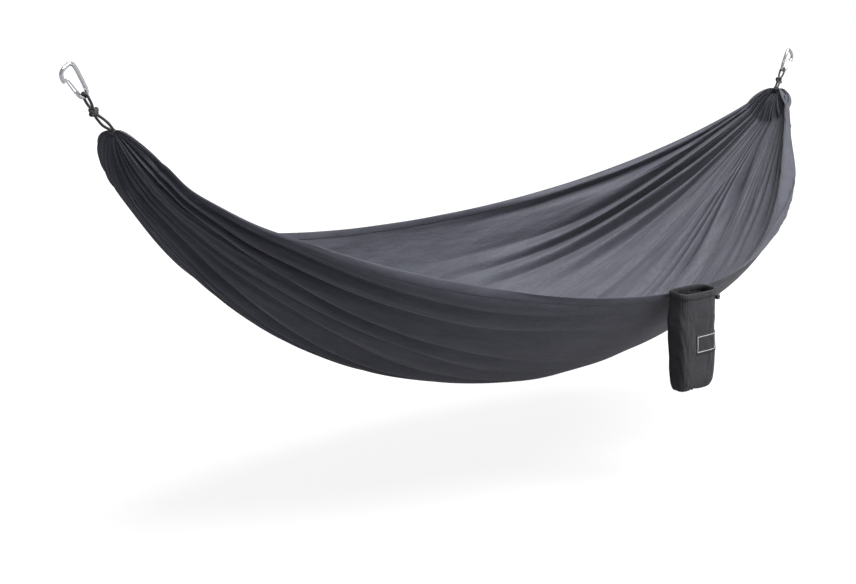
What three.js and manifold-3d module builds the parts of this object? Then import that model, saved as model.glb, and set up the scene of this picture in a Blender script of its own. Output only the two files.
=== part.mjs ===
// Camping hammock, gathered at both ends, hung by two cord slings with wire-gate carabiners.
// Millimetres, +Z up. X runs along the hammock and Y across it, with the near edge at -Y.
// The origin is midway between the two anchor points, where the straps bear on the carabiners.
import * as THREE from 'three';
import { mergeVertices } from 'three/addons/utils/BufferGeometryUtils.js';
import Module from 'manifold-3d';

// --- driving dimensions ---
const ANCHOR_X = 1343;              // half the distance between the anchor points
const SLING_ANGLE = 57 * Math.PI / 180; // slings' rise above the horizontal
const SLING_LEFT = 210;             // anchor point to the middle of the gather
const SLING_RIGHT = 155;
const WHIP_LEFT = 151;              // anchor point to the middle of the whipping
const WHIP_RIGHT = 124;
const CORD_R = 2.75;
const GAP = 0.3;
const ROUND = 8;                    // sides of a round section

const MID_SAG = 594;                // how far the bed hangs below the line of the gathers
const NEAR_SAG = 574;
const FAR_SAG = 451;
const MID_STEEP = 1.75;             // catenary steepness of the middle, near and far lines
const NEAR_STEEP = 1.7;
const FAR_STEEP = 2.5;
const NEAR_SPREAD = 0.99;           // angle from the middle line out to each edge, in radians
const FAR_SPREAD = 0.865;
const BED_TILT = 0.085;
const GATHER_R = 45;                // radius of the bunched cloth at each gather
const GATHER_SPREAD = 1.7;
const GATHER_POWER = 8;             // the bunching fades as this power of the way from the middle
const SEAM_AT = 0.3;                // side seams, as a share of the half width
const CLOTH = 2;                    // thickness of the folded, pleated cloth
const HEM_W = 12;
const BED_STEPS = 30;               // facets along the bed

const CASING_RING_R = 46;           // the end casing bends round this radius
const CASING_R = 12.2;
const CASING_BORE = 3.5;
const CASING_HALF_ANGLE = 1.32;
const CASING_PUCKERS = 9;
const BED_END_CLEAR = 14.2;         // from the casing's ring to the end of the panels

const BAR_R = 3.75;                 // carabiner bar
const CARABINER_INSIDE = 60;        // clear length inside the carabiner
const SEAT_L = 10;                  // flat under the top bow, where the strap bears
const SEAT_X = -3;                  // middle of that flat, inward of the anchor point
const SEAT_RISE = 0.75;             // and above it
const KNOT_HALF = 8.5;
const KNOT_R = 8.5;
const KNOT_AT = 98;                 // middle of the stopper knot, down from the anchor point
const STRAND_OFF = 3.2;             // half the distance between the two strands
const WHIP_LENGTH = 9;
const WIRE_R = 1.3;
const PIVOT = [-12.1, -51];         // gate pivot on the carabiner: inward, up
const WIRE_OFF = BAR_R + GAP + WIRE_R;

const SACK_X = 14;                  // middle of the sack along the hammock
const SACK_HALF_W = 68;
const SACK_HALF_D = 23;
const SACK_H = 216;
const SACK_WALL = 1.2;
const SACK_SIDES = 24;              // facets round the sack
const HEM_H = 15;                   // height of the sack's mouth hem
const HEM_THICK = 2.6;              // half the thickness of that hem
const DRAWCORD_R = 1.2;
const LABEL_W = 84;
const LABEL_H = 44;
const LABEL_TOP = 95;               // top of the label below the mouth
const LOCK_R = 6;
const LOCK_L = 26;
const LOCK_TRAVEL = 3;              // how far the button presses in
const LOCK_DROP = 29;               // middle of the cord lock below the mouth
const TAIL_END = 68;                // drawcord tails' end below the mouth

const wasm = await Module();
wasm.setup();

// --- materials ---
const cloth = () => new THREE.MeshStandardMaterial({ color: 0x3a3a3e, roughness: 0.62 });
const cordage = () => new THREE.MeshStandardMaterial({ color: 0x151517, roughness: 0.85 });
const metal = () => new THREE.MeshStandardMaterial({ color: 0xc4c6c8, roughness: 0.25, metalness: 1 });
const wire = () => new THREE.MeshStandardMaterial({ color: 0xb9bcc0, roughness: 0.3, metalness: 1 });
const plastic = () => new THREE.MeshStandardMaterial({ color: 0x101012, roughness: 0.5 });
const woven = () => new THREE.MeshStandardMaterial({ color: 0x0c0c0e, roughness: 0.8 });

const mesh = (name, geometry, material) => {
  const made = new THREE.Mesh(geometry, material);
  made.name = name;
  return made;
};

// --- general shapes ---
const vec = (x, y, z) => new THREE.Vector3(x, y, z);

function fromGrid(points, faces) {
  const geometry = new THREE.BufferGeometry();
  geometry.setAttribute('position', new THREE.Float32BufferAttribute(points.flatMap((p) => [p.x, p.y, p.z]), 3));
  geometry.setIndex(faces);
  geometry.computeVertexNormals();
  return geometry;
}

// A closed thin body between two sheets, each given as a function of u and v from 0 to 1.
function thinShell(nu, nv, inner, outer) {
  const points = [];
  const faces = [];
  for (const sheet of [inner, outer]) {
    for (let i = 0; i <= nu; i++) {
      for (let j = 0; j <= nv; j++) points.push(sheet(i / nu, j / nv));
    }
  }
  const at = (sheet, i, j) => sheet * (nu + 1) * (nv + 1) + i * (nv + 1) + j;
  const quad = (a, b, c, d) => faces.push(a, b, c, a, c, d);
  for (let i = 0; i < nu; i++) {
    for (let j = 0; j < nv; j++) {
      quad(at(0, i, j), at(0, i + 1, j), at(0, i + 1, j + 1), at(0, i, j + 1));
      quad(at(1, i, j), at(1, i, j + 1), at(1, i + 1, j + 1), at(1, i + 1, j));
    }
    quad(at(0, i, 0), at(1, i, 0), at(1, i + 1, 0), at(0, i + 1, 0));
    quad(at(0, i, nv), at(0, i + 1, nv), at(1, i + 1, nv), at(1, i, nv));
  }
  for (let j = 0; j < nv; j++) {
    quad(at(0, 0, j), at(0, 0, j + 1), at(1, 0, j + 1), at(1, 0, j));
    quad(at(0, nu, j), at(1, nu, j), at(1, nu, j + 1), at(0, nu, j + 1));
  }
  return fromGrid(points, faces);
}

// A pipe with open ends: each station has a middle and two axes, whose cross product points along
// the pipe, and each section gives how far a point at an angle lies along them.
function sleeve(stations, sides, outer, inner) {
  const points = [];
  const faces = [];
  const ring = (station, section, i) => {
    for (let k = 0; k < sides; k++) {
      const [first, second] = section(2 * Math.PI * k / sides, i);
      points.push(station.middle.clone().addScaledVector(station.first, first)
        .addScaledVector(station.second, second));
    }
  };
  stations.forEach((station, i) => {
    ring(station, outer, i);
    ring(station, inner, i);
  });
  const at = (i, layer, k) => (2 * i + layer) * sides + (k % sides);
  const quad = (a, b, c, d) => faces.push(a, b, c, a, c, d);
  const last = stations.length - 1;
  for (let k = 0; k < sides; k++) {
    for (let i = 0; i < last; i++) {
      quad(at(i, 0, k), at(i, 0, k + 1), at(i + 1, 0, k + 1), at(i + 1, 0, k));
      quad(at(i, 1, k), at(i + 1, 1, k), at(i + 1, 1, k + 1), at(i, 1, k + 1));
    }
    quad(at(0, 0, k), at(0, 1, k), at(0, 1, k + 1), at(0, 0, k + 1));
    quad(at(last, 0, k), at(last, 0, k + 1), at(last, 1, k + 1), at(last, 1, k));
  }
  return fromGrid(points, faces);
}

// A round tube through the points, with flat ends.
function tube(points, radius, sides, steps) {
  const circle = new THREE.Shape();
  for (let k = 0; k < sides; k++) {
    const angle = 2 * Math.PI * k / sides;
    const [x, y] = [radius * Math.cos(angle), radius * Math.sin(angle)];
    if (k === 0) circle.moveTo(x, y);
    else circle.lineTo(x, y);
  }
  const path = new THREE.CatmullRomCurve3(points, false, 'centripetal');
  return new THREE.ExtrudeGeometry(circle, { steps, extrudePath: path, curveSegments: sides });
}

// Turns a geometry into a manifold solid, and back.
function solid(geometry) {
  const bare = geometry.clone();
  for (const name of ['normal', 'uv']) bare.deleteAttribute(name);
  const merged = mergeVertices(bare, 1e-4);
  return new wasm.Manifold(new wasm.Mesh({
    numProp: 3,
    vertProperties: new Float32Array(merged.attributes.position.array),
    triVerts: new Uint32Array(merged.index.array),
  }));
}

function fromSolid(body) {
  const made = body.getMesh();
  const geometry = new THREE.BufferGeometry();
  geometry.setAttribute('position', new THREE.BufferAttribute(made.vertProperties, 3));
  geometry.setIndex(new THREE.BufferAttribute(made.triVerts, 1));
  geometry.computeVertexNormals();
  return geometry;
}

const cut = (geometry, ...tools) =>
  fromSolid(tools.reduce((body, tool) => body.subtract(solid(tool)), solid(geometry)));

// --- the two ends ---
// side -1 is the left end and +1 the right end; up points from the gather to the anchor.
function makeEnd(side, slingLength, whipAt) {
  const anchor = vec(side * ANCHOR_X, 0, 0);
  const up = vec(side * Math.cos(SLING_ANGLE), 0, Math.sin(SLING_ANGLE));
  const gather = anchor.clone().addScaledVector(up, -slingLength);
  const below = (down, across) => anchor.clone().addScaledVector(up, -down).add(vec(0, across, 0));
  return { side, whipAt, anchor, gather, below };
}
const left = makeEnd(-1, SLING_LEFT, WHIP_LEFT);
const right = makeEnd(1, SLING_RIGHT, WHIP_RIGHT);

// --- the bed ---
// t runs from -1 at the left gather to 1 at the right one, and v from -1 at the near edge to 1.
function bedPoint(t, v) {
  const toNear = v < 0;
  const edge = v * v;
  const sag = MID_SAG + ((toNear ? NEAR_SAG : FAR_SAG) - MID_SAG) * edge;
  const steep = MID_STEEP + ((toNear ? NEAR_STEEP : FAR_STEEP) - MID_STEEP) * edge;
  const drop = sag * (Math.cosh(steep) - Math.cosh(steep * t)) / (Math.cosh(steep) - 1);
  const angle = BED_TILT + v * (toNear ? NEAR_SPREAD : FAR_SPREAD);
  const bunch = GATHER_R * t ** GATHER_POWER;
  return left.gather.clone().lerp(right.gather, (t + 1) / 2).add(vec(
    0,
    drop * Math.sin(angle) + bunch * Math.sin(GATHER_SPREAD * v),
    -drop * Math.cos(angle) - bunch * Math.cos(GATHER_SPREAD * v),
  ));
}

const NUDGE = 1e-4;
const acrossAt = (t, v) => bedPoint(t, v + NUDGE).sub(bedPoint(t, v - NUDGE)).divideScalar(2 * NUDGE);

function bedOutward(t, v) {
  const along = bedPoint(t + NUDGE, v).sub(bedPoint(t - NUDGE, v));
  return acrossAt(t, v).cross(along).normalize();
}

// A strip of the bed between two lines, each a share of the half width and a distance from it.
function bedStrip(from, to, bands, innerOff, outerOff) {
  const reach = 1 - BED_END_CLEAR / ((right.gather.x - left.gather.x) / 2);
  const place = (offset) => (u, w) => {
    const t = reach * (2 * u - 1);
    const at = ([v, off]) => v + off / acrossAt(t, v).length();
    const v = at(from) + (at(to) - at(from)) * w;
    return bedPoint(t, v).addScaledVector(bedOutward(t, v), offset);
  };
  return thinShell(BED_STEPS, bands, place(innerOff), place(outerOff));
}

const bed = new THREE.Group();
bed.add(mesh('bed_middle_panel', bedStrip([-SEAM_AT, GAP], [SEAM_AT, -GAP], 4, 0, CLOTH), cloth()));
bed.add(mesh('bed_near_panel', bedStrip([-1, GAP], [-SEAM_AT, -GAP], 5, 0, CLOTH), cloth()));
bed.add(mesh('bed_far_panel', bedStrip([SEAM_AT, GAP], [1, -GAP], 5, 0, CLOTH), cloth()));
bed.add(mesh('near_edge_hem', bedStrip([-1, -HEM_W], [-1, -GAP], 1, -1, CLOTH + 1), cloth()));
bed.add(mesh('far_edge_hem', bedStrip([1, GAP], [1, HEM_W], 1, -1, CLOTH + 1), cloth()));

// --- end casings, with the cord loop inside them ---
const ringPoint = (end, angle) => end.gather.clone().add(vec(
  0,
  CASING_RING_R * Math.sin(angle),
  -CASING_RING_R * Math.cos(angle),
));

function endCasing(end) {
  const stations = [];
  const count = 2 * CASING_PUCKERS;
  for (let i = 0; i <= count; i++) {
    const angle = CASING_HALF_ANGLE * (2 * i / count - 1);
    stations.push({
      middle: ringPoint(end, angle),
      first: vec(0, Math.sin(angle), -Math.cos(angle)),
      second: vec(-1, 0, 0),
    });
  }
  const round = (radius) => (a) => [radius * Math.cos(a), radius * Math.sin(a)];
  const puckered = (a, i) => round(CASING_R + (i % 2 ? 1.2 : -0.8))(a);
  return sleeve(stations, ROUND, puckered, round(CASING_BORE));
}

// One cord: down from the stopper knot, through the whipping, round inside the casing, and up again.
function cordLoop(end) {
  const top = KNOT_AT + KNOT_HALF + GAP;
  const whip = end.whipAt;
  const out = end.below(whip + WHIP_LENGTH, STRAND_OFF);
  const ringEnd = CASING_HALF_ANGLE + 0.3;
  const half = [
    end.below(top, STRAND_OFF),
    end.below((top + whip - WHIP_LENGTH) / 2, STRAND_OFF + 0.03 * (whip - top)),
    end.below(whip - WHIP_LENGTH, STRAND_OFF),
    end.below(whip, STRAND_OFF),
    out,
    out.clone().lerp(ringPoint(end, ringEnd), 0.5),
  ];
  for (let angle = ringEnd; angle > 0.1; angle -= 0.2) half.push(ringPoint(end, angle));
  const flipped = half.map((p) => vec(p.x, -p.y, p.z)).reverse();
  return tube([...half, ringPoint(end, 0), ...flipped], CORD_R, ROUND, 44);
}

for (const [end, name] of [[left, 'left'], [right, 'right']]) {
  bed.add(mesh(`${name}_end_casing`, endCasing(end), cloth()));
  bed.add(mesh(`${name}_cord_loop`, cordLoop(end), cordage()));
}

// --- sling hardware, in axes of its own: x inward, y across, z up along the sling, origin at the
// anchor point ---
function stadium(halfLength, halfWidth) {
  const outline = new THREE.Shape();
  const run = halfLength - halfWidth;
  outline.absarc(0, run, halfWidth, 0, Math.PI, false);
  outline.absarc(0, -run, halfWidth, Math.PI, 2 * Math.PI, false);
  return outline;
}

function whipping() {
  const outline = stadium(STRAND_OFF + CORD_R + 2.4, CORD_R + 2.2);
  outline.holes.push(stadium(STRAND_OFF + CORD_R + 0.5, CORD_R + 0.45));
  return new THREE.ExtrudeGeometry(outline, { depth: WHIP_LENGTH, bevelEnabled: false, curveSegments: 6 });
}

// A barrel knot: three turns of cord side by side, so three bulges with flat ends.
function stopperKnot() {
  const profile = [new THREE.Vector2(0, -KNOT_HALF)];
  const count = 12;
  for (let i = 0; i <= count; i++) {
    const along = i / count;
    const bulge = Math.abs(Math.sin(3 * Math.PI * along));
    profile.push(new THREE.Vector2(KNOT_R - 2.2 + 2.2 * bulge, KNOT_HALF * (2 * along - 1)));
  }
  profile.push(new THREE.Vector2(0, KNOT_HALF));
  const knot = new THREE.LatheGeometry(profile, 12);
  knot.rotateX(Math.PI / 2);
  return knot;
}

// The cord's upper bight, round the carabiner's lower bow.
function carabinerBight() {
  const bowAt = CARABINER_INSIDE + BAR_R;
  const bend = BAR_R + CORD_R + 2 * GAP;
  const foot = KNOT_AT - KNOT_HALF - GAP;
  const half = [
    vec(0, STRAND_OFF, -foot), vec(0, STRAND_OFF, -(foot - 1)), vec(0, 5.4, -(foot - 5)),
    vec(0, 6.9, -(bowAt + 4)),
  ];
  for (let angle = 95; angle > 0; angle -= 19) {
    const a = THREE.MathUtils.degToRad(angle);
    half.push(vec(0, bend * Math.sin(a), -bowAt + bend * Math.cos(a)));
  }
  const flipped = half.map((p) => vec(p.x, -p.y, p.z)).reverse();
  return tube([...half, vec(0, 0, -bowAt + bend), ...flipped], CORD_R, ROUND, 26);
}

// An offset D bar: from the nose, over the wide top bow, down the spine, round to the gate's foot.
function carabinerFrame() {
  const line = [
    [-25, -17], [-26, -8.5], [-23.5, -1], [-17, 3], [-8, 4.2], [0, BAR_R], [6, 0.5], [9, -6],
    [9.8, -17], [9.6, -33], [9.2, -47], [8, -57], [4.5, -62.3], [-1, -63.9], [-6.5, -62],
    [-10.5, -57], [-12.1, -51], [-12.3, -46],
  ];
  const bar = tube(line.map(([x, z]) => vec(x, 0, z)), BAR_R, ROUND, 40);
  const hole = new THREE.CylinderGeometry(WIRE_R + GAP, WIRE_R + GAP, 4 * BAR_R, 12);
  hole.translate(PIVOT[0], 0, PIVOT[1]);
  const seat = new THREE.BoxGeometry(SEAT_L, 2 * BAR_R, 2);
  seat.translate(SEAT_X, 0, SEAT_RISE - 1);
  return cut(bar, hole, seat);
}

// One bent wire: its two ends sit in the frame's foot and its loop rests inside the nose.
function wireGate() {
  const half = [
    [PIVOT[0], 1.2, PIVOT[1]], [PIVOT[0], 3.4, PIVOT[1]], [PIVOT[0] - 0.3, WIRE_OFF - 0.3, PIVOT[1] + 0.9],
    [PIVOT[0] - 1, WIRE_OFF + 0.1, PIVOT[1] + 3.4], [-15, 4.9, -38], [-17.6, 4.3, -24],
    [-19.1, 3.6, -17.2], [-19.6, 1.9, -15],
  ].map(([x, y, z]) => vec(x, y, z));
  const flipped = half.map((p) => vec(p.x, -p.y, p.z)).reverse();
  return tube([...half, vec(-19.7, 0, -14.5), ...flipped], WIRE_R, 6, 60);
}

function slingHardware(end, name) {
  const whip = mesh(`${name}_cord_whipping`, whipping(), cordage());
  whip.position.z = -end.whipAt - WHIP_LENGTH / 2;
  const knot = mesh(`${name}_stopper_knot`, stopperKnot(), cordage());
  knot.position.z = -KNOT_AT;
  const tilted = new THREE.Group();
  tilted.add(whip, knot);
  tilted.add(mesh(`${name}_carabiner_bight`, carabinerBight(), cordage()));
  tilted.add(mesh(`${name}_carabiner_frame`, carabinerFrame(), metal()));
  tilted.add(mesh(`${name}_wire_gate`, wireGate(), wire()));
  tilted.position.x = -ANCHOR_X;
  tilted.rotation.y = SLING_ANGLE - Math.PI / 2;
  const turned = new THREE.Group();
  turned.add(tilted);
  turned.rotation.z = end.side < 0 ? 0 : Math.PI;
  return turned;
}

// --- stuff sack, in axes of its own: origin at the middle of its mouth ---
const sackOval = (halfW, halfD, angle) => {
  const corner = 2 / 2.6;             // a rounded oblong, between an ellipse and a rectangle
  const [c, s] = [Math.cos(angle), Math.sin(angle)];
  return [Math.sign(c) * halfW * Math.abs(c) ** corner, Math.sign(s) * halfD * Math.abs(s) ** corner];
};

// Half width and half depth of the sack at a depth below the mouth.
function sackSize(down) {
  const share = down / SACK_H;
  const belly = Math.sin(Math.PI * Math.min(1, share));
  const pinch = Math.max(0, (share - 0.92) / 0.08) ** 2;
  return [SACK_HALF_W + 2 * belly - 5 * pinch, SACK_HALF_D + 3 * belly - 4 * pinch];
}

function sackSide() {
  const stations = [];
  const top = HEM_H + 2 * GAP;
  const count = 8;
  for (let i = 0; i <= count; i++) {
    const down = top + (SACK_H - top) * (1 - (1 - i / count) ** 1.3);
    stations.push({ middle: vec(0, 0, -down), first: vec(1, 0, 0), second: vec(0, -1, 0), down });
  }
  const wall = (inset) => (a, i) => {
    const [w, d] = sackSize(stations[i].down);
    return sackOval(w - inset, d - inset, a);
  };
  return sleeve(stations, SACK_SIDES, wall(0), wall(SACK_WALL));
}

function sackBottom() {
  const [w, d] = sackSize(SACK_H);
  const outline = new THREE.Shape();
  for (let k = 0; k < SACK_SIDES; k++) {
    const [x, y] = sackOval(w, d, 2 * Math.PI * k / SACK_SIDES);
    if (k === 0) outline.moveTo(x, y);
    else outline.lineTo(x, y);
  }
  const plate = new THREE.ExtrudeGeometry(outline, { depth: SACK_WALL, bevelEnabled: false });
  plate.translate(0, 0, -SACK_H - GAP - SACK_WALL);
  return plate;
}

// The mouth hem is a flat tube that stops short of the cord's way out at the +X end.
const HEM_OPENING = 0.16;
const hemMiddle = (angle) => sackOval(SACK_HALF_W - HEM_THICK, SACK_HALF_D - HEM_THICK, angle);

function mouthHem() {
  const stations = [];
  const count = 36;
  for (let i = 0; i <= count; i++) {
    const angle = HEM_OPENING + (2 * Math.PI - 2 * HEM_OPENING) * i / count;
    const [x, y] = hemMiddle(angle);
    const [x1, y1] = hemMiddle(angle + 0.05);
    const [x0, y0] = hemMiddle(angle - 0.05);
    const outward = vec(y1 - y0, x0 - x1, 0).normalize();
    stations.push({ middle: vec(x, y, -HEM_H / 2), first: outward, second: vec(0, 0, -1) });
  }
  const oval = (first, second) => (a) => [first * Math.cos(a), second * Math.sin(a)];
  return sleeve(stations, ROUND, oval(HEM_THICK, HEM_H / 2), oval(DRAWCORD_R + 0.4, HEM_H / 2 - 1));
}

const TAIL_X = SACK_HALF_W + 10;
const TAIL_OFF = 1.8;
const hemCordPoint = (angle) => vec(...hemMiddle(angle), -HEM_H / 2);

function drawcord() {
  const half = [
    vec(TAIL_X, TAIL_OFF, -TAIL_END),
    vec(TAIL_X, TAIL_OFF, -TAIL_END / 2),
    vec(TAIL_X, TAIL_OFF, -20),
    vec(TAIL_X - 0.8, TAIL_OFF + 0.1, -12),
    vec(SACK_HALF_W + 4, 1.9, -HEM_H / 2),
    hemCordPoint(HEM_OPENING * 0.8),
  ];
  for (let angle = HEM_OPENING + 0.1; angle < Math.PI - 0.05; angle += 0.16) half.push(hemCordPoint(angle));
  const flipped = half.map((p) => vec(p.x, -p.y, p.z)).reverse();
  return tube([...half, hemCordPoint(Math.PI), ...flipped], DRAWCORD_R, ROUND, 80);
}

function drawcordKnot() {
  const knot = new THREE.SphereGeometry(4, 10, 8);
  knot.scale(1, 1.2, 1);
  knot.translate(TAIL_X, 0, -TAIL_END - GAP - 4);
  return knot;
}

function sackLabel() {
  const right = SACK_HALF_W - 6;
  const place = (off) => (u, w) => {
    const down = LABEL_TOP + LABEL_H * (1 - w);
    const [halfW, halfD] = sackSize(down);
    const x = right - LABEL_W * (1 - u);
    const y = -(halfD + off) * (1 - Math.abs(x / (halfW + off)) ** 2.6) ** (1 / 2.6);
    return vec(x, y, -down);
  };
  return thinShell(12, 1, place(1.3), place(0.4));
}

function sackTab() {
  const tab = new THREE.BoxGeometry(60, 1.2, 20);
  tab.translate(-10, SACK_HALF_D + GAP + 0.6 + 0.1, -4);
  return tab;
}

// --- cord lock: barrel along Y with a sprung button, and the drawcord's tails through both ---
const BUTTON_R = 3.9;
const SPRING_L = 6;
const LOCK_FLOOR = 2;
const CORDS_HALF = TAIL_OFF + DRAWCORD_R + 0.4; // room for both tails, from the middle

function lockBarrel() {
  const barrel = new THREE.CylinderGeometry(LOCK_R, LOCK_R, LOCK_L, 20);
  const bore = new THREE.CylinderGeometry(BUTTON_R + GAP, BUTTON_R + GAP, LOCK_L, 20);
  bore.translate(0, LOCK_FLOOR, 0);
  const slot = new THREE.BoxGeometry(2 * DRAWCORD_R + 1, 2 * CORDS_HALF, 3 * LOCK_R);
  return cut(barrel, bore, slot);
}

function lockButton() {
  const foot = -LOCK_L / 2 + LOCK_FLOOR + SPRING_L + 2 * GAP;
  const head = LOCK_L / 2 + LOCK_TRAVEL + 1;
  const button = new THREE.CylinderGeometry(BUTTON_R, BUTTON_R, head - foot, 16);
  button.translate(0, (head + foot) / 2, 0);
  const slot = new THREE.BoxGeometry(2 * DRAWCORD_R + 1, 2 * CORDS_HALF + LOCK_TRAVEL, 3 * LOCK_R);
  slot.translate(0, LOCK_TRAVEL / 2, 0);
  return cut(button, slot);
}

function lockSpring() {
  const turns = 3;
  const wireR = 0.4;
  const foot = -LOCK_L / 2 + LOCK_FLOOR + GAP + wireR;
  const points = [];
  for (let k = 0; k <= turns * 12; k++) {
    const angle = 2 * Math.PI * k / 12;
    const along = foot + (SPRING_L - 2 * wireR) * k / (turns * 12);
    points.push(vec(2.8 * Math.cos(angle), along, 2.8 * Math.sin(angle)));
  }
  return tube(points, wireR, 6, 40);
}

function sack() {
  const group = new THREE.Group();
  group.add(mesh('sack_side', sackSide(), cloth()));
  group.add(mesh('sack_bottom', sackBottom(), cloth()));
  group.add(mesh('sack_mouth_hem', mouthHem(), cloth()));
  group.add(mesh('sack_tab', sackTab(), cloth()));
  group.add(mesh('sack_label', sackLabel(), woven()));
  group.add(mesh('sack_drawcord', drawcord(), cordage()));
  group.add(mesh('sack_drawcord_knot', drawcordKnot(), cordage()));
  for (const [name, shape] of [['barrel', lockBarrel], ['button', lockButton], ['spring', lockSpring]]) {
    const piece = mesh(`cord_lock_${name}`, shape(), name === 'spring' ? wire() : plastic());
    piece.position.set(TAIL_X, 0, -LOCK_DROP);
    group.add(piece);
  }
  // the tab lies against the outside of the near edge's hem
  const rim = bedStripEdge();
  group.position.set(SACK_X, rim.y - SACK_HALF_D - 6, rim.z + 2);
  return group;
}

// The outermost line of the near edge's hem, level with the sack.
function bedStripEdge() {
  const t = (SACK_X - (left.gather.x + right.gather.x) / 2) / ((right.gather.x - left.gather.x) / 2);
  const v = -1 - HEM_W / acrossAt(t, -1).length();
  return bedPoint(t, v).addScaledVector(bedOutward(t, v), CLOTH + 1);
}

// --- the whole hammock ---
const hammock = new THREE.Group();
hammock.add(bed, slingHardware(left, 'left'), slingHardware(right, 'right'), sack());

export default hammock;
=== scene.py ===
"""Camping hammock: fine cloth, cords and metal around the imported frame. Metres."""
import math

import bpy
import numpy as np
from mathutils import Matrix, Vector, noise


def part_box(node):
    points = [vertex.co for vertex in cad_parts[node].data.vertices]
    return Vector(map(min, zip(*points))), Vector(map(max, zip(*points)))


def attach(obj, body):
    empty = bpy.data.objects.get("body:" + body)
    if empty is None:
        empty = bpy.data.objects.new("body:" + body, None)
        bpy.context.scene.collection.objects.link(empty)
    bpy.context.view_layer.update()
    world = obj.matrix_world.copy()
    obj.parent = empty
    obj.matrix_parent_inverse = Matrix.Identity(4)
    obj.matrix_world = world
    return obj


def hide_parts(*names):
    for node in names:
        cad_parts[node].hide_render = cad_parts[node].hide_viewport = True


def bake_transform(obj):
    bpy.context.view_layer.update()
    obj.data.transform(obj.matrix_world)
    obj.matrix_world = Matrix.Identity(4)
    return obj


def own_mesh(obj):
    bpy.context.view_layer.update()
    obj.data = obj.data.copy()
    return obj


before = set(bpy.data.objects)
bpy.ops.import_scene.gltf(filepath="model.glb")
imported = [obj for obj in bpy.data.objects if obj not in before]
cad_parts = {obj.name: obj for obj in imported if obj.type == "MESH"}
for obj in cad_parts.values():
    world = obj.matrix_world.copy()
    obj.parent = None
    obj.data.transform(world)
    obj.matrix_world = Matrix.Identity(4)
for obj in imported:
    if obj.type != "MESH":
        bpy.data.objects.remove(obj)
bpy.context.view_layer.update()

# --- driving dimensions that the design shares ---
ANCHOR_X = 1.343
SLING_ANGLE = math.radians(57)
SLING = {"left": 0.210, "right": 0.155}        # anchor point to the middle of the gather
SIDE = {"left": -1, "right": 1}
MIDDLE, NEAR, FAR = (0.594, 1.75), (0.574, 1.70), (0.451, 2.5)    # sag and catenary steepness
NEAR_SPREAD, FAR_SPREAD, BED_TILT = 0.99, 0.865, 0.085
GATHER_R, GATHER_SPREAD, GATHER_POWER = 0.045, 1.7, 8
SEAM_AT = 0.3                                  # side seams, as a share of the half width
CORD_R, THIN_CORD_R = 0.00275, 0.0012
STRAND_OFF = 0.0032                            # half the distance between a sling's two strands
KNOT_AT = 0.098                                # middle of the stopper knot, down from the anchor point
BAR_R, WIRE_R = 0.00375, 0.0013

# --- the finer shape of the bed and its whippings ---
CLOTH_LENGTH = 2.84                            # cut flat
MIDDLE_WIDTH, SIDE_WIDTH = 0.36, 0.41          # the three panels, cut flat
CLOTH_WIDTH = MIDDLE_WIDTH + 2 * SIDE_WIDTH
CLOTH_THICK = 0.0004
WHIP_AT = {"left": 0.155, "right": 0.128}      # anchor point to the whipping
WHIP_IN = {"left": 0.0176, "right": 0.002}     # how far the whipping stands inward of the straight line
CLOSING_FROM = 0.968                           # from here on t the cloth is drawn in to the whipping
SHRINK, LIFT = 0.86, 1.04                      # how far it closes, and its share of the way to the whipping
EDGE_LOBE, EDGE_DIP = 0.022, 0.0055            # the near edge's rise and dip by the left gather
LOBE_AT, LOBE_LENGTH = -0.968, 0.025           # where they are on t, and how long
DIP_AT, DIP_LENGTH = -0.85, 0.05
PANEL_END, SEAM_END, STITCH_END = 0.988, 0.975, 0.97    # where pieces stop on t
FOLDS, FINE_FOLDS = 14, 43                     # folds across the whole bed
FOLD_BIAS = 0.4                                # moves the folds towards the bed's inside
SHEET_STEPS = 240                              # along the bed
SAMPLES_PER_UNIT = 150                         # across it, for each unit of v

CASING_FROM = 0.972                            # where on t the casing's stitching runs
CASING_PUFF = 0.013
SEAM_HALF_W, SEAM_HALF_H = 0.0055, 0.0011
SEAM_ROW = 0.0038                              # a seam's middle to each of its rows of stitching
HEM_W, HEM_HALF_H = 0.018, 0.0016
HEM_ROW = 0.015                                # the edge to its row of stitching
STITCH_LENGTH, STITCH_LIFT = 0.003, 0.0013


# --- places ---
def sling_point(end, down, across=0.0, inward=0.0):
    """A point in a sling's own axes: down from its anchor point, across it, and inward."""
    side = SIDE[end]
    c, s = math.cos(SLING_ANGLE), math.sin(SLING_ANGLE)
    x = -ANCHOR_X + s * inward + c * down
    z = c * inward - s * down
    return Vector((-side * x, side * -across, z))


GATHER = {end: np.array(sling_point(end, SLING[end])) for end in SIDE}
WHIP = {end: np.array(sling_point(end, WHIP_AT[end], inward=WHIP_IN[end])) for end in SIDE}


def smooth(low, high, x):
    """0 below low and 1 above high, with an eased step between them."""
    s = np.clip((x - low) / (high - low), 0, 1)
    return s * s * (3 - 2 * s)


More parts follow.
